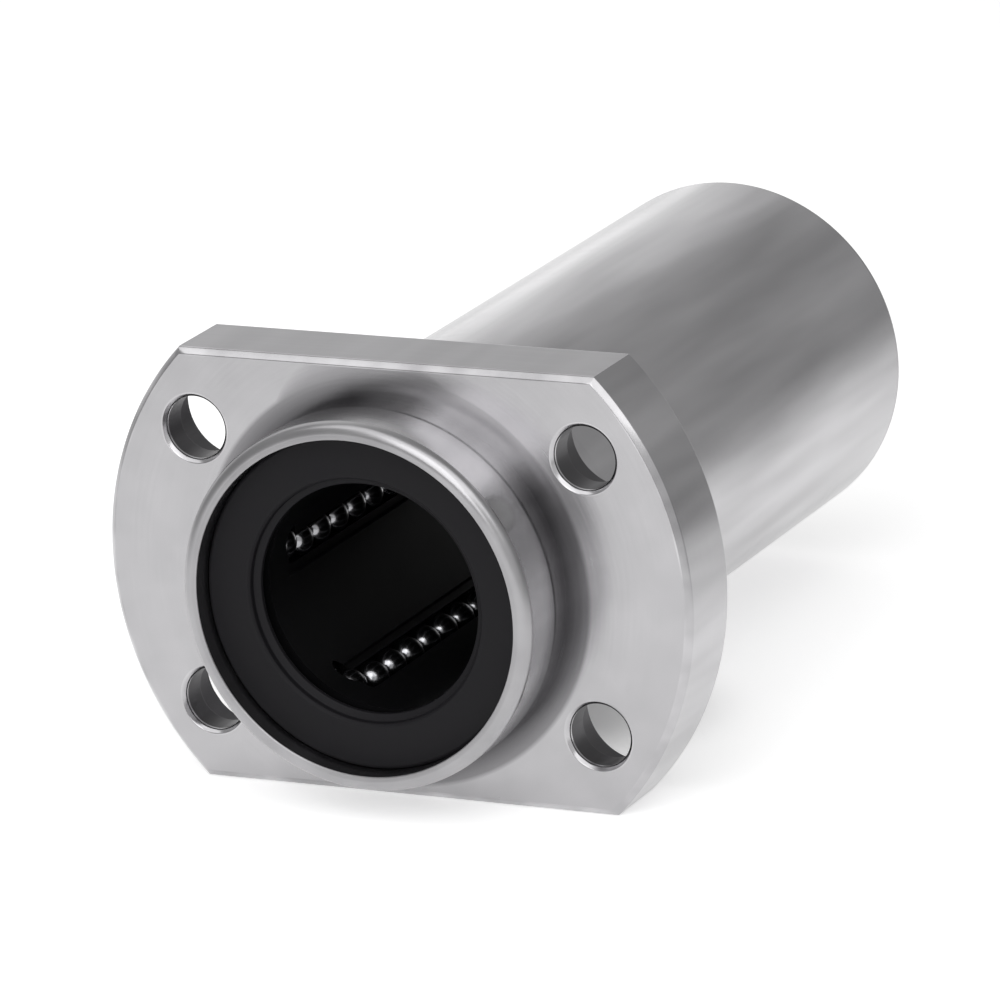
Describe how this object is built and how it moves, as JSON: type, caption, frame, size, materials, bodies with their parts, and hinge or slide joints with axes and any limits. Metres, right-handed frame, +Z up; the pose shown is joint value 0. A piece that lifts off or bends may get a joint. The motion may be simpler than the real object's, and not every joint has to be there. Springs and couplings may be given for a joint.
{
  "type": "flanged linear bushing",
  "caption": "Long sealed linear ball bushing with a pilot nose and a flange cut flat on two sides, bolted in a plate to guide a round shaft.",
  "frame": {"origin": "on the bore axis, in the plane of the flange face that the pilot nose stands on", "axes": "+Y along the bore from the pilot nose to the tail, +Z up out of one flange flat, +X along the flange's long way"},
  "size_m": [0.054, 0.08, 0.038],
  "materials": {
    "ground_steel": "ground bearing steel",
    "seal_rubber": "matte nitrile rubber",
    "retainer_resin": "moulded black resin",
    "spring_steel": "oiled spring steel",
    "ball_steel": "polished bearing steel"
  },
  "bodies": {
    "housing": {"outer_sleeve": "ground_steel", "front_seal": "seal_rubber", "rear_seal": "seal_rubber", "front_snap_ring": "spring_steel", "rear_snap_ring": "spring_steel", "front_retainer": "retainer_resin", "rear_retainer": "retainer_resin"},
    "loaded_balls": {"front_loaded_row_1": "ball_steel", "front_loaded_row_2": "ball_steel", "front_loaded_row_3": "ball_steel", "front_loaded_row_4": "ball_steel", "front_loaded_row_5": "ball_steel", "rear_loaded_row_1": "ball_steel", "rear_loaded_row_2": "ball_steel", "rear_loaded_row_3": "ball_steel", "rear_loaded_row_4": "ball_steel", "rear_loaded_row_5": "ball_steel"},
    "return_balls": {"front_return_row_1": "ball_steel", "front_return_row_2": "ball_steel", "front_return_row_3": "ball_steel", "front_return_row_4": "ball_steel", "front_return_row_5": "ball_steel", "rear_return_row_1": "ball_steel", "rear_return_row_2": "ball_steel", "rear_return_row_3": "ball_steel", "rear_return_row_4": "ball_steel", "rear_return_row_5": "ball_steel"},
    "front_nose_turn_1": {"front_nose_turn_1": "ball_steel"},
    "front_tail_turn_1": {"front_tail_turn_1": "ball_steel"},
    "front_nose_turn_2": {"front_nose_turn_2": "ball_steel"},
    "front_tail_turn_2": {"front_tail_turn_2": "ball_steel"},
    "front_nose_turn_3": {"front_nose_turn_3": "ball_steel"},
    "front_tail_turn_3": {"front_tail_turn_3": "ball_steel"},
    "front_nose_turn_4": {"front_nose_turn_4": "ball_steel"},
    "front_tail_turn_4": {"front_tail_turn_4": "ball_steel"},
    "front_nose_turn_5": {"front_nose_turn_5": "ball_steel"},
    "front_tail_turn_5": {"front_tail_turn_5": "ball_steel"},
    "rear_nose_turn_1": {"rear_nose_turn_1": "ball_steel"},
    "rear_tail_turn_1": {"rear_tail_turn_1": "ball_steel"},
    "rear_nose_turn_2": {"rear_nose_turn_2": "ball_steel"},
    "rear_tail_turn_2": {"rear_tail_turn_2": "ball_steel"},
    "rear_nose_turn_3": {"rear_nose_turn_3": "ball_steel"},
    "rear_tail_turn_3": {"rear_tail_turn_3": "ball_steel"},
    "rear_nose_turn_4": {"rear_nose_turn_4": "ball_steel"},
    "rear_tail_turn_4": {"rear_tail_turn_4": "ball_steel"},
    "rear_nose_turn_5": {"rear_nose_turn_5": "ball_steel"},
    "rear_tail_turn_5": {"rear_tail_turn_5": "ball_steel"}
  },
  "joints": [
    {"name": "ball_travel", "type": "slide", "parent": "housing", "child": "loaded_balls", "axis": [0, 1, 0], "range_m": [-0.00168, 0.00168]},
    {"name": "return_travel", "type": "slide", "parent": "housing", "child": "return_balls", "axis": [0, 1, 0], "range_m": [-0.00168, 0.00168]},
    {"name": "front_nose_turn_1_turning", "type": "hinge", "parent": "housing", "child": "front_nose_turn_1", "pos_m": [-0.01112, 0.00271, 0.00364], "axis": [0.9912, 0, -0.1323], "range_deg": [-45, 45]},
    {"name": "front_tail_turn_1_turning", "type": "hinge", "parent": "housing", "child": "front_tail_turn_1", "pos_m": [-0.01112, 0.02627, 0.00364], "axis": [0.9912, 0, -0.1323], "range_deg": [-45, 45]},
    {"name": "front_nose_turn_2_turning", "type": "hinge", "parent": "housing", "child": "front_nose_turn_2", "pos_m": [-0.0069, 0.00271, -0.00945], "axis": [0.4321, 0, 0.9018], "range_deg": [-45, 45]},
    {"name": "front_tail_turn_2_turning", "type": "hinge", "parent": "housing", "child": "front_tail_turn_2", "pos_m": [-0.0069, 0.02627, -0.00945], "axis": [0.4321, 0, 0.9018], "range_deg": [-45, 45]},
    {"name": "front_nose_turn_3_turning", "type": "hinge", "parent": "housing", "child": "front_nose_turn_3", "pos_m": [0.00685, 0.00271, -0.00948], "axis": [-0.7242, 0, 0.6896], "range_deg": [-45, 45]},
    {"name": "front_tail_turn_3_turning", "type": "hinge", "parent": "housing", "child": "front_tail_turn_3", "pos_m": [0.00685, 0.02627, -0.00948], "axis": [-0.7242, 0, 0.6896], "range_deg": [-45, 45]},
    {"name": "front_nose_turn_4_turning", "type": "hinge", "parent": "housing", "child": "front_nose_turn_4", "pos_m": [0.01113, 0.00271, 0.00359], "axis": [-0.8796, 0, -0.4756], "range_deg": [-45, 45]},
    {"name": "front_tail_turn_4_turning", "type": "hinge", "parent": "housing", "child": "front_tail_turn_4", "pos_m": [0.01113, 0.02627, 0.00359], "axis": [-0.8796, 0, -0.4756], "range_deg": [-45, 45]},
    {"name": "front_nose_turn_5_turning", "type": "hinge", "parent": "housing", "child": "front_nose_turn_5", "pos_m": [0.00003, 0.00271, 0.0117], "axis": [0.1805, 0, -0.9836], "range_deg": [-45, 45]},
    {"name": "front_tail_turn_5_turning", "type": "hinge", "parent": "housing", "child": "front_tail_turn_5", "pos_m": [0.00003, 0.02627, 0.0117], "axis": [0.1805, 0, -0.9836], "range_deg": [-45, 45]},
    {"name": "rear_nose_turn_1_turning", "type": "hinge", "parent": "housing", "child": "rear_nose_turn_1", "pos_m": [-0.01112, 0.03773, 0.00364], "axis": [0.9912, 0, -0.1323], "range_deg": [-45, 45]},
    {"name": "rear_tail_turn_1_turning", "type": "hinge", "parent": "housing", "child": "rear_tail_turn_1", "pos_m": [-0.01112, 0.06129, 0.00364], "axis": [0.9912, 0, -0.1323], "range_deg": [-45, 45]},
    {"name": "rear_nose_turn_2_turning", "type": "hinge", "parent": "housing", "child": "rear_nose_turn_2", "pos_m": [-0.0069, 0.03773, -0.00945], "axis": [0.4321, 0, 0.9018], "range_deg": [-45, 45]},
    {"name": "rear_tail_turn_2_turning", "type": "hinge", "parent": "housing", "child": "rear_tail_turn_2", "pos_m": [-0.0069, 0.06129, -0.00945], "axis": [0.4321, 0, 0.9018], "range_deg": [-45, 45]},
    {"name": "rear_nose_turn_3_turning", "type": "hinge", "parent": "housing", "child": "rear_nose_turn_3", "pos_m": [0.00685, 0.03773, -0.00948], "axis": [-0.7242, 0, 0.6896], "range_deg": [-45, 45]},
    {"name": "rear_tail_turn_3_turning", "type": "hinge", "parent": "housing", "child": "rear_tail_turn_3", "pos_m": [0.00685, 0.06129, -0.00948], "axis": [-0.7242, 0, 0.6896], "range_deg": [-45, 45]},
    {"name": "rear_nose_turn_4_turning", "type": "hinge", "parent": "housing", "child": "rear_nose_turn_4", "pos_m": [0.01113, 0.03773, 0.00359], "axis": [-0.8796, 0, -0.4756], "range_deg": [-45, 45]},
    {"name": "rear_tail_turn_4_turning", "type": "hinge", "parent": "housing", "child": "rear_tail_turn_4", "pos_m": [0.01113, 0.06129, 0.00359], "axis": [-0.8796, 0, -0.4756], "range_deg": [-45, 45]},
    {"name": "rear_nose_turn_5_turning", "type": "hinge", "parent": "housing", "child": "rear_nose_turn_5", "pos_m": [0.00003, 0.03773, 0.0117], "axis": [0.1805, 0, -0.9836], "range_deg": [-45, 45]},
    {"name": "rear_tail_turn_5_turning", "type": "hinge", "parent": "housing", "child": "rear_tail_turn_5", "pos_m": [0.00003, 0.06129, 0.0117], "axis": [0.1805, 0, -0.9836], "range_deg": [-45, 45]}
  ],
  "couplings": [
    {"joint": "return_travel", "follows": "ball_travel", "ratio": -1},
    {"joint": "front_nose_turn_1_turning", "follows": "ball_travel", "rad_per_m": 466.69},
    {"joint": "front_tail_turn_1_turning", "follows": "ball_travel", "rad_per_m": 466.69},
    {"joint": "front_nose_turn_2_turning", "follows": "ball_travel", "rad_per_m": 466.69},
    {"joint": "front_tail_turn_2_turning", "follows": "ball_travel", "rad_per_m": 466.69},
    {"joint": "front_nose_turn_3_turning", "follows": "ball_travel", "rad_per_m": 466.69},
    {"joint": "front_tail_turn_3_turning", "follows": "ball_travel", "rad_per_m": 466.69},
    {"joint": "front_nose_turn_4_turning", "follows": "ball_travel", "rad_per_m": 466.69},
    {"joint": "front_tail_turn_4_turning", "follows": "ball_travel", "rad_per_m": 466.69},
    {"joint": "front_nose_turn_5_turning", "follows": "ball_travel", "rad_per_m": 466.69},
    {"joint": "front_tail_turn_5_turning", "follows": "ball_travel", "rad_per_m": 466.69},
    {"joint": "rear_nose_turn_1_turning", "follows": "ball_travel", "rad_per_m": 466.69},
    {"joint": "rear_tail_turn_1_turning", "follows": "ball_travel", "rad_per_m": 466.69},
    {"joint": "rear_nose_turn_2_turning", "follows": "ball_travel", "rad_per_m": 466.69},
    {"joint": "rear_tail_turn_2_turning", "follows": "ball_travel", "rad_per_m": 466.69},
    {"joint": "rear_nose_turn_3_turning", "follows": "ball_travel", "rad_per_m": 466.69},
    {"joint": "rear_tail_turn_3_turning", "follows": "ball_travel", "rad_per_m": 466.69},
    {"joint": "rear_nose_turn_4_turning", "follows": "ball_travel", "rad_per_m": 466.69},
    {"joint": "rear_tail_turn_4_turning", "follows": "ball_travel", "rad_per_m": 466.69},
    {"joint": "rear_nose_turn_5_turning", "follows": "ball_travel", "rad_per_m": 466.69},
    {"joint": "rear_tail_turn_5_turning", "follows": "ball_travel", "rad_per_m": 466.69}
  ]
}
